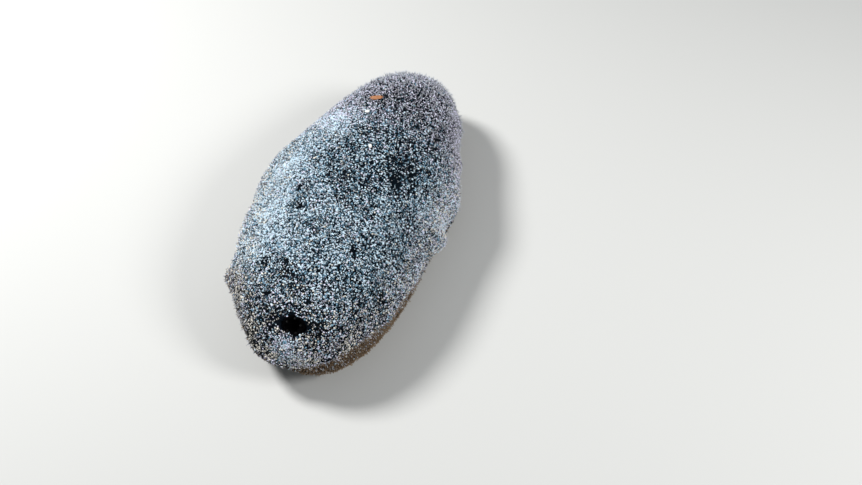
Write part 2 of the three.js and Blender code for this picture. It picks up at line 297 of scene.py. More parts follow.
def sand_cover(station, turn, points, outward):
    """How thick the sand lies, from 0 where the skin is bare to about 1 where it hides the skin."""
    mottle = 0.17 - 0.09 * smoothstep(0.1, 0.5, station)
    cover = 0.45 + 0.05 * lattice_noise(points, 15 * MM, 11) + mottle * lattice_noise(points, 6 * MM, 12)
    cover += 0.3 * smoothstep(0.75, 0.1, outward[..., 2]) * (1 - 0.75 * smoothstep(-0.3, -0.65, station))
    for along, across, radius, change in SAND_DRIFTS:
        away = np.hypot(points[..., 0] - along * MM, points[..., 1] - across * MM)
        cover += change * bell(away, 0, radius * MM)
    # Little sand clings below the crest, and none under the sole
    cover *= 1 - (0.75 + 0.2 * hind_right(station, turn)) * smoothstep(0.05, -0.3, over_crest(station, turn))
    cover *= 1 - smoothstep(-0.55, -0.8, outward[..., 2])
    # The left margin of the hind end is bare
    cover *= 1 - 0.75 * bell(station, -0.88, 0.2) * bell(turn_from(turn, 0.0), 0, 0.42)
    cover *= 1 - 0.92 * spots_on_back(points, outward)
    # Round the hind opening the sand thins out in short rays
    rays = points - body_point(*VENT_PLACE)
    rays = rays / (np.linalg.norm(rays, axis=-1, keepdims=True) + 1e-9)
    wander = 1 + 0.3 * lattice_noise(points, 3.4 * MM, 13) + 0.3 * lattice_noise(rays, 0.3, 14)
    cover *= smoothstep(0.75, 1.05, opening_distance(points, VENT_PLACE, 1.3) / (8.6 * MM * wander))
    cover *= 1 - 0.8 * bell(opening_distance(points, VENT_PLACE, 1.6), 0, 15 * MM * wander)
    return np.clip(cover, 0, 1.2)


def unwrapped(station, turn):
    """The place of a root on the skin's own unwrap: round the body, and along it."""
    round_it = np.mod(turn, 2 * math.pi) / (2 * math.pi)
    along_it = 0.5 + 0.5 * (2 / math.pi) * np.arcsin(np.clip(station, -1, 1))
    return np.stack(np.broadcast_arrays(round_it, along_it), axis=-1)


def scatter(count, weight, seed, cells=420):
    """Stations and turns of roots strewn over the skin by chance, as close together as the weight says."""
    rng = np.random.default_rng(seed)
    edges = -np.cos(math.pi * np.linspace(0.001, 0.999, cells + 1))
    turns = 2 * math.pi * np.linspace(0, 1, cells + 1)
    station, turn = np.meshgrid((edges[1:] + edges[:-1]) / 2, (turns[1:] + turns[:-1]) / 2, indexing="ij")
    corners = body_point(*np.meshgrid(edges, turns, indexing="ij"))
    sides = np.cross(corners[1:, :-1] - corners[:-1, :-1], corners[:-1, 1:] - corners[:-1, :-1])
    share = np.linalg.norm(sides, axis=-1) * weight(station, turn)
    running = np.cumsum(share.ravel())
    cell = np.searchsorted(running, rng.uniform(0, running[-1], count))
    cell = np.minimum(cell, cells * cells - 1)
    row_place = cell // cells + rng.uniform(0, 1, count)
    column_place = cell % cells + rng.uniform(0, 1, count)
    marks = np.arange(cells + 1)
    return np.interp(row_place, marks, edges), np.interp(column_place, marks, turns)


def kept_apart(points, clear):
    """Which of the points stay, if none may lie nearer than clear to one before it."""
    tree = KDTree(len(points))
    for i, point in enumerate(points):
        tree.insert(point, i)
    tree.balance()
    kept = np.ones(len(points), dtype=bool)
    for i, point in enumerate(points):
        if kept[i]:
            for _, j, _ in tree.find_range(point, clear):
                kept[j] = kept[j] and j <= i
    return kept


def new_piece(name, points, faces, uvs=None, values=None, smooth=True):
    """A mesh object in the scene. Faces is a list of arrays, each with one number of corners to a face."""
    mesh = bpy.data.meshes.new(name)
    mesh.vertices.add(len(points))
    mesh.vertices.foreach_set("co", np.ascontiguousarray(points, dtype=np.float32).ravel())
    corners = np.concatenate([f.ravel() for f in faces]).astype(np.int32)
    sizes = np.concatenate([np.full(len(f), f.shape[1]) for f in faces])
    mesh.loops.add(len(corners))
    mesh.loops.foreach_set("vertex_index", corners)
    mesh.polygons.add(len(sizes))
    mesh.polygons.foreach_set("loop_start", (np.cumsum(sizes) - sizes).astype(np.int32))
    mesh.polygons.foreach_set("use_smooth", np.full(len(sizes), smooth))
    mesh.update(calc_edges=True)
    if uvs is not None:
        layer = mesh.uv_layers.new(name="OFBake")
        layer.data.foreach_set("uv", np.ascontiguousarray(uvs, dtype=np.float32).ravel())
    for label, data in (values or {}).items():
        attribute = mesh.attributes.new(label, "FLOAT", "POINT")
        attribute.data.foreach_set("value", np.ascontiguousarray(data, dtype=np.float32))
    if mesh.validate():
        raise RuntimeError(f"the mesh of {name} had faults")
    piece = bpy.data.objects.new(name, mesh)
    bpy.context.scene.collection.objects.link(piece)
    return piece


def ring_faces(rings, sides):
    """Quads between stacked rings of points, and the fan from the last ring to the point after it."""
    low, i = np.meshgrid(np.arange(rings - 1) * sides, np.arange(sides), indexing="ij")
    after = (i + 1) % sides
    quads = np.stack((low + i, low + after, low + sides + after, low + sides + i), axis=-1).reshape(-1, 4)
    i = np.arange(sides)
    last = (rings - 1) * sides
    return quads, np.stack((last + i, last + (i + 1) % sides, np.full(sides, last + sides)), axis=-1)


def ring_triangles(rings, sides):
    """The same faces, each quad split in two."""
    quads, fan = ring_faces(rings, sides)
    return np.concatenate((quads[:, [0, 1, 2, 0, 2, 3]].reshape(-1, 3), fan))


def joined_copies(name, shapes, places, axes, sizes, roots, choice=None, tone=None, smooth=True):
    """One mesh of many small shapes, each chosen from a list. Axes holds three directions for each copy, and
    sizes its scale along them. Each copy is a small patch round its root's place in the map OFBake. The
    attribute tone is one value for each copy, or else the height over the root, from 0 to 1."""
    choice = np.zeros(len(places), dtype=int) if choice is None else choice
    sizes = np.broadcast_to(sizes, places.shape)
    roots = np.clip(np.broadcast_to(roots, (len(places), 2)), PATCH_MARGIN, 1 - PATCH_MARGIN)
    points, faces, uvs, tones = [], [], [], []
    start = 0
    for k, (shape_points, shape_faces) in enumerate(shapes):
        chosen = np.flatnonzero(choice == k)
        scaled = shape_points[None] * sizes[chosen][:, None]
        placed = places[chosen][:, None] + np.einsum("nvk,nkj->nvj", scaled, axes[chosen])
        placed[..., 2] = np.maximum(placed[..., 2], FLOOR_GAP)
        points.append(placed.reshape(-1, 3))
        offsets = start + len(shape_points) * np.arange(len(chosen))
        faces.append((shape_faces[None] + offsets[:, None, None]).reshape(-1, 3))
        span = np.abs(shape_points[:, :2]).max()
        patch = roots[chosen][:, None] + PATCH_SIZE / 2 * shape_points[None, :, :2] / span
        uvs.append(patch[:, shape_faces.ravel()].reshape(-1, 2))
        height_or_tone = shape_points[None, :, 2] if tone is None else tone[chosen][:, None]
        tones.append(np.broadcast_to(height_or_tone, placed.shape[:2]).ravel())
        start += len(shape_points) * len(chosen)
    values = {"tone": np.concatenate(tones)}
    return new_piece(name, np.concatenate(points), faces, np.concatenate(uvs), values, smooth)


def grain_shapes(count, sides, seed):
    """Small worn stones about one unit in radius: twenty-sided ones, or two cones base to base."""
    rng = np.random.default_rng(seed)
    shapes = []
    for _ in range(count):
        if sides == 20:
            ball = bmesh.new()
            bmesh.ops.create_icosphere(ball, subdivisions=1, radius=1)
            ball.verts.ensure_lookup_table()
            points = np.array([v.co for v in ball.verts])
            faces = np.array([[v.index for v in f.verts] for f in ball.faces])
            ball.free()
        else:
            belt = sides // 2
            points = np.concatenate((circle(belt)[1], ((0, 0, 0.95), (0, 0, -0.95))))
            upper = [(i, (i + 1) % belt, belt) for i in range(belt)]
            lower = [((i + 1) % belt, i, belt + 1) for i in range(belt)]
            faces = np.array(upper + lower)
        points = points * (1 + rng.normal(0, 0.16, (len(points), 1))) + rng.normal(0, 0.07, points.shape)
        shapes.append((points, faces))
    return shapes


def stalk_shape(rings, sides):
    """An upright stalk of unit height with a rounded tip. Rings lists height and radius from root to tip."""
    layers = [circle(sides)[1] * radius + (0, 0, height) for height, radius in rings]
    return np.concatenate(layers + [[(0, 0, 1.0)]]), ring_triangles(len(rings), sides)


def unit(direction):
    """Directions scaled to a length of one."""
    return direction / np.linalg.norm(direction, axis=-1, keepdims=True)


def upright_axes(direction, spin):
    """For each copy, two sideways directions and its upright one, turned about it by spin."""
    upright = unit(direction)
    side = unit(np.cross(np.where(np.abs(upright[:, 2:3]) < 0.9, UP, (1.0, 0.0, 0.0)), upright))
    other = np.cross(upright, side)
    first = side * np.cos(spin)[:, None] + other * np.sin(spin)[:, None]
    return np.stack((first, np.cross(upright, first), upright), axis=1)


def linear(code):
    """An sRGB hex colour as linear red, green, blue and alpha."""
    parts = [int(code[i : i + 2], 16) / 255 for i in (1, 3, 5)]
    return tuple(p / 12.92 if p <= 0.04045 else ((p + 0.055) / 1.055) ** 2.4 for p in parts) + (1.0,)


def add_node(tree, kind, inputs, **settings):
    """Adds a node, sets its own settings, sets its inputs or links them, and gives back its outputs."""
    node = tree.nodes.new(f"ShaderNode{kind}")
    for name, value in settings.items():
        setattr(node, name, value)
    for name, value in inputs.items():
        if isinstance(value, bpy.types.NodeSocket):
            tree.links.new(value, node.inputs[name])
        else:
            node.inputs[name].default_value = value
    return node.outputs


def new_material(name):
    """A material with no nodes yet, and its tree."""
    material = bpy.data.materials.new(name)
    material.use_nodes = True
    material.node_tree.nodes.clear()
    return material, material.node_tree


def end_tree(tree, colour, roughness, gloss, relief=None):
    """Ends a material's tree with its shader and output. Relief is what the bump needs, if there is one."""
    inputs = {"Base Color": colour, "Roughness": roughness, "Specular IOR Level": gloss}
    if relief:
        inputs["Normal"] = add_node(tree, "Bump", relief)["Normal"]
    add_node(tree, "OutputMaterial", {"Surface": add_node(tree, "BsdfPrincipled", inputs)["BSDF"]})


def skin_material(black_tone, tan_and_shade_tone):
    """Holothurian body wall: a thick, wet black hide, finely creased, with silt in its grain. It gives the
    eye a deep black between the grains, a tan lower flank on the hind right, darkened with painted shade
    under the crest, and a grey-brown sole."""
    material, tree = new_material("wet_black_body_wall")
    place = add_node(tree, "TexCoord", {})["Object"]
    names = ("sand", "tan", "sole", "blush")
    sand, tan, sole, blush = (add_node(tree, "Attribute", {}, attribute_name=name)["Fac"] for name in names)
    clouds = add_node(tree, "TexNoise", {"Vector": place, "Scale": 1 / (9 * MM), "Detail": 3.0})["Fac"]
    grain = add_node(tree, "TexNoise", {"Vector": place, "Scale": 1 / (1.3 * MM), "Detail": 4.0})["Fac"]
    silt = add_node(tree, "TexVoronoi", {"Vector": place, "Scale": 1 / (0.62 * MM)})
    chance = add_node(tree, "SeparateColor", {"Color": silt["Color"]})
    # A speck of silt lies where its chance is less than the cover, round and clear of its neighbours
    odds = add_node(tree, "Math", {0: sand, 1: chance["Red"]}, operation="SUBTRACT")["Value"]
    lying = add_node(tree, "MapRange", {"Value": odds, "From Min": 0.28, "From Max": 0.34})["Result"]
    from_middle = {"Value": silt["Distance"], "From Min": 0.55, "From Max": 0.35}
    rounded = add_node(tree, "MapRange", from_middle)["Result"]
    film = add_node(tree, "Math", {0: lying, 1: rounded}, operation="MULTIPLY")["Value"]
    # The black hide comes first, and each later tone lies over it by its own share
    tones = (
        (clouds, linear("#010407"), black_tone, None),
        # The flank's tan is its own colour, set darker with painted shade of the crest above it
        (grain, linear("#2a2018"), tan_and_shade_tone, tan),
        (clouds, linear("#3a3631"), linear("#6a6156"), sole),
        (clouds, linear("#7d5d58"), linear("#7d5d58"), blush),
        (chance["Green"], linear("#101d28"), linear("#8fabbd"), film),
    )
    colour = None
    for mottle, dark, pale, share in tones:
        tone = add_node(tree, "Mix", {0: mottle, 6: dark, 7: pale}, data_type="RGBA")[2]
        if share is not None:
            tone = add_node(tree, "Mix", {0: share, 6: colour, 7: tone}, data_type="RGBA")[2]
        colour = tone
    cells = {"Vector": place, "Scale": 1 / (2.1 * MM)}
    edges = add_node(tree, "TexVoronoi", cells, feature="DISTANCE_TO_EDGE")["Distance"]
    ridges = {"Value": edges, "From Min": 0.0, "From Max": 0.3, "To Max": 1.2}
    height = grain
    for part in (film, add_node(tree, "MapRange", ridges)["Result"]):
        height = add_node(tree, "Math", {0: height, 1: part}, operation="ADD")["Value"]
    end_tree(tree, colour, 0.65, 0.04, {"Height": height, "Strength": 0.9, "Distance": 0.35 * MM})
    return material


def toned_material(name, dark, pale, roughness, gloss):
    """A substance whose colour runs from dark to pale by the attribute tone: one colour for each copy, or a
    fade from root to tip."""
    material, tree = new_material(name)
    tone = add_node(tree, "Attribute", {}, attribute_name="tone")["Fac"]
    colour = add_node(tree, "Mix", {0: tone, 6: linear(dark), 7: pale}, data_type="RGBA")[2]
    end_tree(tree, colour, roughness, gloss)
    return material


def mottled_material(name, dark, pale, cell, roughness, gloss, depth):
    """A plain substance with soft mottles one cell apart, and a faint relief of the same mottles."""
    material, tree = new_material(name)
    place = add_node(tree, "TexCoord", {})["Object"]
    mottle = add_node(tree, "TexNoise", {"Vector": place, "Scale": 1 / cell, "Detail": 4.0})["Fac"]
    colour = add_node(tree, "Mix", {0: mottle, 6: linear(dark), 7: linear(pale)}, data_type="RGBA")[2]
    end_tree(tree, colour, roughness, gloss, {"Height": mottle, "Strength": 0.8, "Distance": depth})
    return material


def settle(piece, material):
    """Gives a piece its material and the body it rides on."""
    piece.data.materials.append(material)
    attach(piece, "root")


def whole_setting(name, description, default, least=0):
    """A setting that is a whole number."""
    return IntProperty(name=name, description=description, default=default, min=least)


def length_setting(name, description, default):
    """A setting that is a length in metres."""
    return FloatProperty(name=name, description=description, default=default, min=0, subtype="DISTANCE")


def number_setting(name, description, default, least=0.0, subtype="NONE"):
    """A setting that is any other number."""
    return FloatProperty(name=name, description=description, default=default, min=least, subtype=subtype)


def colour_setting(name, description, code):
    """A setting that is a colour, linear, with a hex colour for its default."""
    return FloatVectorProperty(
        name=name, description=description, default=linear(code), size=4, min=0, max=1, subtype="COLOR"
    )


class SkinSettings(bpy.types.PropertyGroup):
    rings: whole_setting("Rings", "Steps along the skin", 306, 40)
    sectors: whole_setting("Sectors", "Steps round the skin", 312, 40)
    black: colour_setting("Black", "Paler tone of the black hide", "#06111b")
    # The bare flank's tan is set darker than its own colour, as painted shade under the crest
    tan: colour_setting("Tan", "Paler tone of the bare flank", "#614e3d")


class SandSettings(bpy.types.PropertyGroup):
    count: whole_setting("Grains", "Grains of sand on the whole animal", 80000, 100)
    radius: length_setting("Grain radius", "Middle radius of a grain", 0.4 * MM)
    spread: number_setting("Size spread", "Spread of the grains' radii, as a share", 0.26)
    flatness: number_setting("Flatness", "Thickness of a grain as a share of its width", 0.72, 0, "FACTOR")
    blue: colour_setting("Blue-white", "Palest of the blue-white grains", "#daeefa")
    slate: colour_setting("Slate", "Palest of the slate grains", "#749fb8")
    lilac: colour_setting("Lilac", "Palest of the lilac grains", "#e7e5f8")
    cream: colour_setting("Cream", "Palest of the cream grains", "#f2ede2")
    seed: whole_setting("Seed", "Changes where the grains lie", 5)


class PapillaSettings(bpy.types.PropertyGroup):
    count: whole_setting("Papillae", "Thin papillae on the back", 5200, 10)
    flank_count: whole_setting("On the flanks", "Short tan papillae below the margins", 3800, 10)
    length: length_setting("Length", "Middle length of a papilla", 2.0 * MM)
    radius: length_setting("Radius", "Radius of a papilla at its root", 0.28 * MM)
    seed: whole_setting("Seed", "Changes where the papillae stand", 8)


class FootSettings(bpy.types.PropertyGroup):
    count: whole_setting("Sole tries", "Places tried for tube feet on the sole", 9000, 10)
    fringe: whole_setting("Edge tries", "Places tried along the flanks' lower edge", 1500, 10)
    spacing: length_setting("Spacing", "Least distance between feet", 2.5 * MM)
    radius: length_setting("Radius", "Radius of a foot's disc", 0.9 * MM)
    seed: whole_setting("Seed", "Changes where the feet stand", 13)


class StageSettings(bpy.types.PropertyGroup):
    camera_place: FloatVectorProperty(
        name="Camera", description="Place of the camera", default=(-0.36086, -0.17409, 0.51748), subtype="XYZ"
    )
    camera_yaw: number_setting("Yaw", "Heading from +X", 0.32378, -math.pi, "ANGLE")
    camera_pitch: number_setting("Pitch", "Tilt above level", -0.92767, -math.pi, "ANGLE")
    lens: number_setting("Lens", "Focal length in mm on a 36 mm sensor", 35.0, 10)
    key_power: number_setting("Key", "Power of the large soft lamp in watts", 13.8)
    fill_power: number_setting("Fill", "Power of the weaker lamp in watts", 6.8)
    surround: number_setting("Surround", "Strength of the pale surround", 0.22)
    floor: colour_setting("Floor", "Colour of the floor", "#cfcfcc")


class TEATFISH_OT_skin(bpy.types.Operator):
    """Make the one closed skin that stands for all the fleshy solids"""

    bl_idname = "teatfish.skin"
    bl_label = "Skin"

    def execute(self, context):
        settings = context.scene.teatfish_skin
        rows, columns = settings.rings - 1, settings.sectors
        # Rings stand closer at the two ends, and sectors are closer over the back than under the sole
        share = np.arange(1, settings.rings) / settings.rings
        stations = (2 * share - 1) * 0.4 - 0.6 * np.cos(math.pi * share)
        even = circle(columns)[0]
        turns = even - 0.28 * np.sin(2 * even) - 0.12 * (1 - np.cos(even - math.pi / 2)) + 0.12
        station, turn = np.meshgrid(stations, turns, indexing="ij")
        points, _, _, outward = body_frame(station, turn)
        skin = points + outward * skin_relief(station, turn, points, outward)[..., None]
        # After the rings come the tip of the head end and that of the hind end
        tips = np.stack((skin[-1].mean(axis=0), skin[0].mean(axis=0)))
        quads, head = ring_faces(rows, columns)
        column = np.arange(columns)
        hind = np.stack(((column + 1) % columns, column, np.full(columns, rows * columns + 1)), axis=-1)
        # The unwrap: turns across, stations up, with the last column closing at the right edge
        across = np.append(unwrapped(0, turns)[:, 0], 1.0)
        across[0] = 0.0
        level = unwrapped(stations, 0)[:, 1]
        i, j = np.meshgrid(np.arange(rows - 1), column, indexing="ij")
        middle = (across[:-1] + across[1:]) / 2
        corners = (
            (
                (across[j], level[i + 1]), (across[j + 1], level[i + 1]),
                (across[j + 1], level[i]), (across[j], level[i]),
            ),
            ((across[1:], level[0]), (across[:-1], level[0]), (middle, 0.0)),
            ((across[:-1], level[-1]), (across[1:], level[-1]), (middle, 1.0)),
        )
        uvs = []
        for group in corners:
            pairs = [np.stack(np.broadcast_arrays(*pair), axis=-1) for pair in group]
            uvs.append(np.stack(pairs, axis=-2).reshape(-1, 2))
        sole = smoothstep(-0.6, -0.9, outward[..., 2])
        # The tan mark lies on the flank below the crest: the flank's own tan, and painted shade of the
        # overhanging crest
        below = smoothstep(0.03, -0.1, over_crest(station, turn))
        marks = {
            "sand": sand_cover(station, turn, points, outward),
            "tan": below * (0.25 + 0.75 * hind_right(station, turn)) * (1 - sole),
            "sole": sole,
            "blush": 0.5 * bell(station, TEAT_FIRST["left"], 0.06) * bell(turn_from(turn, 0.1), 0, 0.25),
        }
        values = {}
        for label, mark in marks.items():
            values[label] = np.concatenate((mark.ravel(), mark[-1, :1], mark[0, :1]))
        vertices = np.concatenate((skin.reshape(-1, 3), tips))
        piece = new_piece("skin", vertices, [quads[:, ::-1], hind, head], np.concatenate(uvs), values)
        settle(piece, skin_material(settings.black, settings.tan))
        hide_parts(*(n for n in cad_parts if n.startswith(("teat_", "trunk_", "sole_"))))
        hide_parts("hind_end", "head_end")
        return {"FINISHED"}


class TEATFISH_OT_sand(bpy.types.Operator):
    """Strew the grains of coral sand over the skin"""

    bl_idname = "teatfish.sand"
    bl_label = "Sand coat"

    def execute(self, context):
        settings = context.scene.teatfish_sand
        count = settings.count

        def weight(station, turn):
            points, _, _, outward = body_frame(station, turn)
            return sand_cover(station, turn, points, outward)

        station, turn = scatter(count, weight, settings.seed)
        points, outward = on_skin(station, turn)
        rng = np.random.default_rng(settings.seed + 1)
        radius = settings.radius * np.exp(rng.normal(0, settings.spread, count))
        radius = np.clip(radius, 0.5 * settings.radius, 2.0 * settings.radius)
        long = rng.uniform(0.85, 1.25, count)
        wide = rng.uniform(0.8, 1.1, count)
        sizes = radius[:, None] * np.stack((long, wide, np.full(count, settings.flatness)), axis=-1)
        lean = outward + rng.normal(0, 0.22, (count, 3))
        axes = upright_axes(lean, rng.uniform(0, 2 * math.pi, count))
        places = points + outward * (radius * 0.32)[:, None]
        # How light a grain is: most are nearly white, the rest anything down to dark
        white = rng.uniform(0, 1, count) < 0.3 + 0.5 * sand_cover(station, turn, points, outward)
        light = np.where(white, rng.normal(0.98, 0.08, count), rng.normal(0.5, 0.2, count))
        # Blue-white and slate grains lie mostly on the middle, lilac ones ahead, cream ones behind and low
        hind = smoothstep(-0.6, -0.92, station)
        low = smoothstep(0.7, 0.1, over_crest(station, turn))
        head = smoothstep(0.05, 0.6, station)
        left = smoothstep(0.4, 0.8, np.cos(turn))
        patches = 1 + 0.9 * lattice_noise(points, 9 * MM, 21)
        cream = (0.04 + 0.26 * hind + 0.24 * low + 0.2 * left) * (1 - 0.8 * head) * patches
        lilac = np.clip(0.08 + 0.75 * head + 0.35 * hind + 0.4 * low, 0, 1)
        draw = rng.uniform(0, 1, count)
        blue = np.where(white, 0, 1)
        hue = np.where(draw < cream, 3, np.where(draw < cream + (1 - cream) * lilac, 2, blue))
        light = np.where(hue == 1, rng.uniform(0.35, 1.1, count), light)
        tone = np.clip(light, 0.08, 1) ** 2.2
        # Larger grains have more faces
        variants = 9
        shapes = grain_shapes(variants, 8, 2) + grain_shapes(variants, 12, 3) + grain_shapes(variants, 20, 4)
        finer = np.digitize(radius / settings.radius, (0.95, 1.3))
        choice = rng.integers(0, variants, count) + variants * finer
        region = 2 * np.digitize(station, (-0.5, 0, 0.5)) + (np.cos(turn) > 0)
        lengths = ("hind", "rear", "front", "head")
        regions = [f"{part}_{side}" for part in lengths for side in ("right", "left")]
        roots = unwrapped(station, turn)
        for k, (name, dark) in enumerate(SAND_DARKS.items()):
            # Broken coral and shell, tumbled dull: one colour to a grain, so that the coat sparkles unevenly
            material = toned_material(f"{name}_coral_sand", dark, getattr(settings, name), 0.8, 0.3)
            for q, part in enumerate(regions):
                chosen = np.where((hue == k) & (region == q), choice, -1)
                label = f"sand_{name}_{part}"
                piece = joined_copies(label, shapes, places, axes, sizes, roots, chosen, tone, smooth=False)
                settle(piece, material)
                if len(piece.data.polygons) >= PIECE_LIMIT:
                    raise RuntimeError(f"{piece.name} has {len(piece.data.polygons)} triangles")
        return {"FINISHED"}


class TEATFISH_OT_papillae(bpy.types.Operator):
    """Stand thin papillae on the back, most of them on the head end and along the margins"""

    bl_idname = "teatfish.papillae"
    bl_label = "Papillae"

    def execute(self, context):
        settings = context.scene.teatfish_papillae

        def on_back(station, turn):
            points, _, _, outward = body_frame(station, turn)
            lift = np.arctan2(np.sin(turn), np.abs(np.cos(turn)))
            thicker = 0.35 + 1.2 * smoothstep(0.2, 0.8, station) + 0.7 * bell(lift, 0.1, 0.3)
            clear = smoothstep(9 * MM, 14 * MM, opening_distance(points, VENT_PLACE))
            return smoothstep(-0.35, 0.0, outward[..., 2]) * thicker * clear

        def on_flank(station, turn):
            outward = body_frame(station, turn)[3]
            below = smoothstep(0.06, -0.06, over_crest(station, turn))
            share = 0.06 + 0.94 * hind_right(station, turn)
            return below * share * smoothstep(-0.85, -0.6, outward[..., 2])

        # Thin black skin with a pale limy tip, which frosts the back against the light, and tan skin that
        # makes the flank look felted
        black = toned_material("thin_papilla_skin", "#16191d", linear("#dfe3ea"), 0.6, 0.15)
        tan = toned_material("tan_flank_papilla_skin", "#2c221a", linear("#927c64"), 0.65, 0.15)
        lots = (
            ("papillae", settings.count, on_back, settings.length, black),
            ("flank_papillae", settings.flank_count, on_flank, 0.8 * settings.length, tan),
        )
        stalk = stalk_shape(((0, 1.0), (0.4, 0.85), (0.86, 0.62)), 5)
        for name, count, weight, middle_length, material in lots:
            station, turn = scatter(count, weight, settings.seed)
            points, outward = on_skin(station, turn)
            rng = np.random.default_rng(settings.seed + 1)
            tall = middle_length * np.clip(np.exp(rng.normal(0, 0.3, count)), 0.4, 2.0)
            tall *= 0.85 + 0.5 * smoothstep(0.5, 0.9, station)
            radius = settings.radius * rng.uniform(0.7, 1.25, count)
            axes = upright_axes(outward + rng.normal(0, 0.42, (count, 3)), rng.uniform(0, 6.28, count))
            sizes = np.stack((radius, radius, tall), axis=-1)
            roots = unwrapped(station, turn)
            piece = joined_copies(name, [stalk], points - outward * 0.2 * MM, axes, sizes, roots)
            settle(piece, material)
        return {"FINISHED"}


class TEATFISH_OT_feet(bpy.types.Operator):
    """Set the tube feet into the sole, and a fringe of them along the lower edge of the flanks"""

    bl_idname = "teatfish.feet"
    bl_label = "Tube feet"

    def execute(self, context):
        settings = context.scene.teatfish_feet
        rng = np.random.default_rng(settings.seed)

        def under(station, turn):
            points, _, _, outward = body_frame(station, turn)
            clear = opening_distance(points, MOUTH_PLACE) > 12.5 * MM
            return (points[..., 2] < 3.2 * MM) * (outward[..., 2] < -0.5) * clear

        def edge(station, turn):
            points, _, _, outward = body_frame(station, turn)
            clear = opening_distance(points, MOUTH_PLACE) > 14 * MM
            return bell(points[..., 2], 6.5 * MM, 3.5 * MM) * smoothstep(0.1, -0.2, outward[..., 2]) * clear

        # Soft translucent skin, paler at the sucker
        material = toned_material("tube_foot_skin", "#4f4940", linear("#b5a791"), 0.55, 0.15)
        foot = stalk_shape(((0, 0.55), (0.45, 0.42), (0.8, 0.55), (0.93, 1.0)), 7)
        lots = (("tube_feet", settings.count, under), ("foot_fringe", settings.fringe, edge))
        for name, tries, weight in lots:
            station, turn = scatter(tries, weight, settings.seed)
            kept = kept_apart(body_point(station, turn), settings.spacing)
            station, turn = station[kept], turn[kept]
            points, outward = on_skin(station, turn)
            count = len(station)
            radius = settings.radius * rng.uniform(0.75, 1.15, count)
            root = points - outward * 0.3 * MM
            if name == "tube_feet":
                # Each foot reaches down to the floor
                direction = -UP + rng.normal(0, 0.12, (count, 3))
                tall = (root[:, 2] - 0.03 * MM) / -unit(direction)[:, 2]
            else:
                # Each foot hangs out, and stops short of the floor
                radius *= 0.72
                direction = outward + (0, 0, -0.5) + rng.normal(0, 0.3, (count, 3))
                reach = rng.uniform(2.0, 3.6, count) * MM
                tall = np.minimum(reach, (root[:, 2] - 0.3 * MM) / np.maximum(-unit(direction)[:, 2], 0.05))
            axes = upright_axes(direction, rng.uniform(0, 6.28, count))
            sizes = np.stack((radius, radius, tall), axis=-1)
            feet = joined_copies(name, [foot], root, axes, sizes, unwrapped(station, turn))
            settle(feet, material)
        return {"FINISHED"}


def opening_axes(place):
    """The centre of an opening, and its two sideways directions and its outward one."""
    centre, _, _, outward = body_frame(*place)
    return centre, upright_axes(outward[None], np.zeros(1))[0]


def surface_fall(place, across, along):
    """How far the body's outline lies above the plane of an opening, at distances from its middle."""
    centre, axes = opening_axes(place)
    near, round_it = np.meshgrid(np.linspace(-0.09, 0.09, 9), np.linspace(-0.24, 0.24, 9))
    offsets = (body_point(place[0] + near, place[1] + round_it).reshape(-1, 3) - centre) @ axes.T

    def terms(u, v):
        return np.stack((np.ones_like(u), u, v, u * u, u * v, v * v), axis=-1)

    weights = np.linalg.lstsq(terms(offsets[:, 0], offsets[:, 1]), offsets[:, 2], rcond=None)[0]
    return terms(across, along) @ weights


def turned_surface(name, place, circles, rings, turns):
    """The lining of an opening, turned about its axis and closed at its depth. Its rim follows the body's
    outline, and its throat is true to the axis."""
    centre, axes = opening_axes(place)
    angle, flat = circle(turns)
    outer = circles[rings[0][0]] + rings[0][1] * MM
    layers = []
    for base, beyond, height, fold in rings:
        radius = circles[base] + beyond * MM
        ripple = 1 + fold * (0.6 * np.cos(13 * angle) + 0.4 * np.cos(7 * angle + 1))
        layer = flat * (radius * ripple)[:, None]
        rise = height * MM * (1 + 0.25 * fold * np.cos(5 * angle))
        layer[:, 2] = rise + surface_fall(place, layer[:, 0], layer[:, 1]) * (radius / outer) ** 0.5
        layers.append(layer)
    points = np.concatenate(layers + [[(0, 0, -circles["depth"])]])
    return new_piece(name, centre + points @ axes, list(ring_faces(len(rings), turns)))


class TEATFISH_OT_vent(bpy.types.Operator):
    """Make the hind opening: a puckered black rim, a dark throat and five small papillae, darkened with
    painted shade
    """

    bl_idname = "teatfish.vent"
    bl_label = "Hind opening"

    def execute(self, context):
        ring = turned_surface("vent_lining", VENT_PLACE, VENT, VENT_RINGS, 130)
        # Wet bare lining, black of its own and darkened further with painted shade, so that the opening reads
        # as a hole
        lining = mottled_material("black_wet_lining_painted_shade", "#010102", "#030304", 1.5 * MM, 0.7, 0.02, 0.2 * MM)
        settle(ring, lining)
        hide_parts("vent_rim")
        centre, axes = opening_axes(VENT_PLACE)
        angle, flat = circle(5, 0.2)
        places = centre + (flat * (VENT["throat"] + 0.4 * MM) + (0, 0, -2.8 * MM)) @ axes
        leaning = upright_axes((flat * -0.35 + UP) @ axes, angle)
        cone = stalk_shape(((0, 1.0), (0.25, 1.05), (0.55, 0.85), (0.85, 0.45)), 12)
        size = (0.85 * MM, 0.85 * MM, 2.2 * MM)
        papillae = joined_copies("vent_papillae", [cone], places, leaning, size, unwrapped(*VENT_PLACE))
        # Skin stiffened with lime, pale in life but painted as black as the lining, as painted shade deep in
        # the opening, with a faint edge
        limy = toned_material("limy_papilla_painted_shade", "#020202", linear("#070707"), 0.6, 0.15)
        settle(papillae, limy)
        return {"FINISHED"}


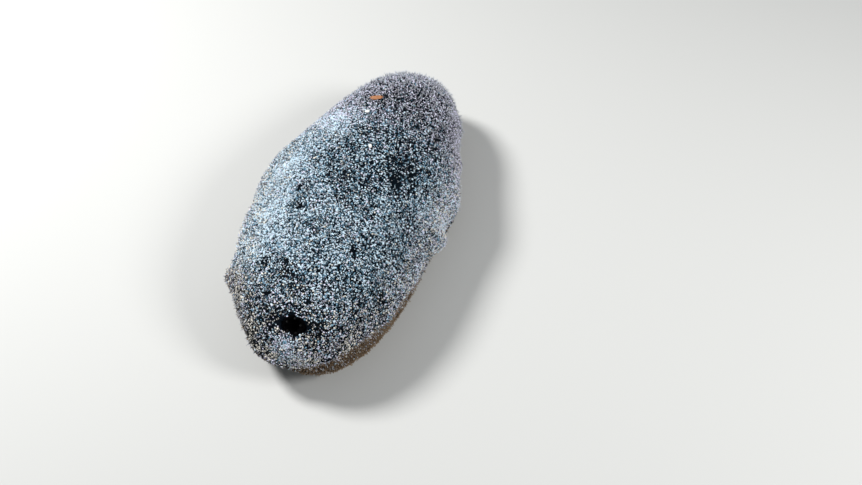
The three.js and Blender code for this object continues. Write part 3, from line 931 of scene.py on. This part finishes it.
class TEATFISH_OT_mouth(bpy.types.Operator):
    """Make the mouth under the head end: its collar and twenty drawn-in tentacles"""

    bl_idname = "teatfish.mouth"
    bl_label = "Mouth"

    def execute(self, context):
        collar = turned_surface("mouth_lining", MOUTH_PLACE, MOUTH, MOUTH_RINGS, 120)
        # Thin dark skin, softly mottled and a little shiny
        lining = mottled_material("dark_collar_skin", "#161513", "#3a3530", 1.2 * MM, 0.5, 0.15, 0.3 * MM)
        settle(collar, lining)
        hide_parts("mouth_collar")
        centre, axes = opening_axes(MOUTH_PLACE)
        root = unwrapped(*MOUTH_PLACE)
        angle, flat = circle(TENTACLES)
        # Tentacles stand in two circles, one within the other
        out = np.where(np.arange(TENTACLES) % 2 == 0, 5.2 * MM, 3.0 * MM)
        places = centre + (flat * out[:, None] + (0, 0, -6.0 * MM)) @ axes
        leaning = upright_axes((flat * 0.25 + UP) @ axes, angle)
        stalk = stalk_shape(((0, 0.8), (0.5, 0.65), (0.85, 0.9)), 8)
        size = (0.9 * MM, 0.9 * MM, 3.6 * MM)
        stalks = joined_copies("tentacle_stalks", [stalk], places, leaning, size, root)
        # Wet grey-black skin, paler on the lobes that pick up the sand
        skin = toned_material("tentacle_skin", "#141416", linear("#565049"), 0.5, 0.15)
        settle(stalks, skin)
        # Each shield is a cluster of rounded lobes on the end of its stalk, eight round three
        rng = np.random.default_rng(31)
        lobes = 11
        turn = 2 * math.pi * np.arange(lobes) / (lobes - 3)
        inner = np.arange(lobes) >= lobes - 3
        reach = np.where(inner, 0.45, 1.25) * MM
        height = np.where(inner, 4.0, 3.5) * MM
        spread = np.stack((reach * np.cos(turn), reach * np.sin(turn), height), axis=-1)
        lobe_places = (places[:, None] + np.einsum("lk,nkj->nlj", spread, leaning)).reshape(-1, 3)
        shields = joined_copies(
            "tentacle_shields",
            grain_shapes(4, 20, 9),
            lobe_places,
            np.repeat(leaning, lobes, axis=0),
            (0.62 * MM, 0.62 * MM, 0.55 * MM),
            root,
            rng.integers(0, 4, len(lobe_places)),
            rng.uniform(0.5, 1.0, len(lobe_places)),
        )
        settle(shields, skin)
        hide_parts("tentacle_crown")
        return {"FINISHED"}


class TEATFISH_OT_flakes(bpy.types.Operator):
    """Lay the orange-brown flake of shell and the two larger white chips on the back"""

    bl_idname = "teatfish.flakes"
    bl_label = "Shell flakes"

    def execute(self, context):
        rng = np.random.default_rng(21)
        sides = 22
        under = [((i + 1) % sides, i, 3 * sides + 1) for i in range(sides)]
        faces = np.concatenate((ring_triangles(3, sides), under))
        for name, station, turn, half_length, half_width, dark, pale, slot in FLAKES:
            edge = circle(sides)[1] * (1 + rng.normal(0, 0.07, sides))[:, None]
            steps = ((1.0, 0.0), (0.97, 0.35), (0.6, 0.55))
            rings = [edge * inset + (0, 0, height) for inset, height in steps]
            shape = np.concatenate(rings + [((0, 0, 0.62), (0, 0, -0.1))])
            points, outward = on_skin(station, turn)
            upright = unit(outward - 0.3 * body_frame(station, turn)[1])
            across = unit(np.cross(upright, FLAKE_AXIS))
            axes = np.stack((np.cross(upright, across), -across, upright))
            scale = np.array((half_length * MM, half_width * MM, FLAKE_THICKNESS))
            place = points + outward * FLAKE_THICKNESS
            piece = new_piece(name, place + (shape * scale) @ axes, [faces], smooth=False)
            # Weathered shell, matt, with faint growth mottles
            material = mottled_material(f"{name}_shell", dark, pale, 1.6 * MM, 0.6, 0.15, 0.15 * MM)
            settle(piece, material)
        return {"FINISHED"}


class TEATFISH_OT_stage(bpy.types.Operator):
    """Set the pale floor, the soft studio lamps and the camera"""

    bl_idname = "teatfish.stage"
    bl_label = "Stage"

    def execute(self, context):
        settings = context.scene.teatfish_stage
        half = 3.0
        corners = np.array([(-half, -half, 0), (half, -half, 0), (half, half, 0), (-half, half, 0)])
        floor = new_piece("floor", corners, [np.array([[0, 1, 2, 3]])], smooth=False)
        # Matt wall paint, which gives a soft shadow and no gloss
        paint, tree = new_material("matt_floor_paint")
        end_tree(tree, settings.floor, 0.9, 0.5)
        floor.data.materials.append(paint)

        world = bpy.data.worlds.new("soft_surround")
        world.use_nodes = True
        background = world.node_tree.nodes["Background"]
        background.inputs["Color"].default_value = linear("#e4ebf2")
        background.inputs["Strength"].default_value = settings.surround
        context.scene.world = world

        aim = Vector((0, 0, 0.04))
        lamps = (
            ("key_lamp", (0.06, 0.72, 0.85), 0.28, settings.key_power),
            ("fill_lamp", (-0.05, -0.85, 0.70), 0.35, settings.fill_power),
        )
        for name, place, size, power in lamps:
            lamp = bpy.data.lights.new(name, "AREA")
            lamp.shape = "DISK"
            lamp.size = size
            lamp.energy = power
            holder = bpy.data.objects.new(name, lamp)
            context.scene.collection.objects.link(holder)
            holder.location = place
            holder.rotation_euler = (Vector(place) - aim).to_track_quat("Z", "Y").to_euler()

        camera = bpy.data.cameras.new("camera")
        camera.lens = settings.lens
        camera.sensor_width = 36
        camera.sensor_fit = "HORIZONTAL"
        camera.clip_start = 0.01
        holder = bpy.data.objects.new("camera", camera)
        context.scene.collection.objects.link(holder)
        holder.location = settings.camera_place
        holder.rotation_euler = (math.pi / 2 + settings.camera_pitch, 0, settings.camera_yaw - math.pi / 2)
        context.scene.camera = holder
        context.scene.view_settings.view_transform = "Standard"
        return {"FINISHED"}


class TEATFISH_PT_panel(bpy.types.Panel):
    """Lists the pieces of the animal and its stage"""

    bl_idname = "TEATFISH_PT_panel"
    bl_label = "Black teatfish"
    bl_space_type = "VIEW_3D"
    bl_region_type = "UI"
    bl_category = "Teatfish"

    def draw(self, context):
        for group, steps in STEPS:
            column = self.layout.column(align=True)
            settings = getattr(context.scene, group, None)
            if settings is not None:
                for name in settings.__annotations__:
                    column.prop(settings, name)
            for step in steps:
                column.operator(step)


STEPS = (
    ("teatfish_skin", ("teatfish.skin",)),
    ("teatfish_sand", ("teatfish.sand",)),
    ("teatfish_papillae", ("teatfish.papillae",)),
    ("teatfish_feet", ("teatfish.feet",)),
    ("", ("teatfish.vent", "teatfish.mouth", "teatfish.flakes")),
    ("teatfish_stage", ("teatfish.stage",)),
)
SETTINGS = {
    "teatfish_skin": SkinSettings,
    "teatfish_sand": SandSettings,
    "teatfish_papillae": PapillaSettings,
    "teatfish_feet": FootSettings,
    "teatfish_stage": StageSettings,
}
CLASSES = (
    *SETTINGS.values(),
    TEATFISH_OT_skin,
    TEATFISH_OT_sand,
    TEATFISH_OT_papillae,
    TEATFISH_OT_feet,
    TEATFISH_OT_vent,
    TEATFISH_OT_mouth,
    TEATFISH_OT_flakes,
    TEATFISH_OT_stage,
    TEATFISH_PT_panel,
)


def register():
    for cls in CLASSES:
        bpy.utils.register_class(cls)
    for name, cls in SETTINGS.items():
        setattr(bpy.types.Scene, name, PointerProperty(type=cls))


def unregister():
    for name in SETTINGS:
        delattr(bpy.types.Scene, name)
    for cls in reversed(CLASSES):
        bpy.utils.unregister_class(cls)


def main():
    """Builds every piece in order."""
    register()
    for _, steps in STEPS:
        for step in steps:
            group, name = step.split(".")
            getattr(getattr(bpy.ops, group), name)()


if __name__ == "__main__":
    main()
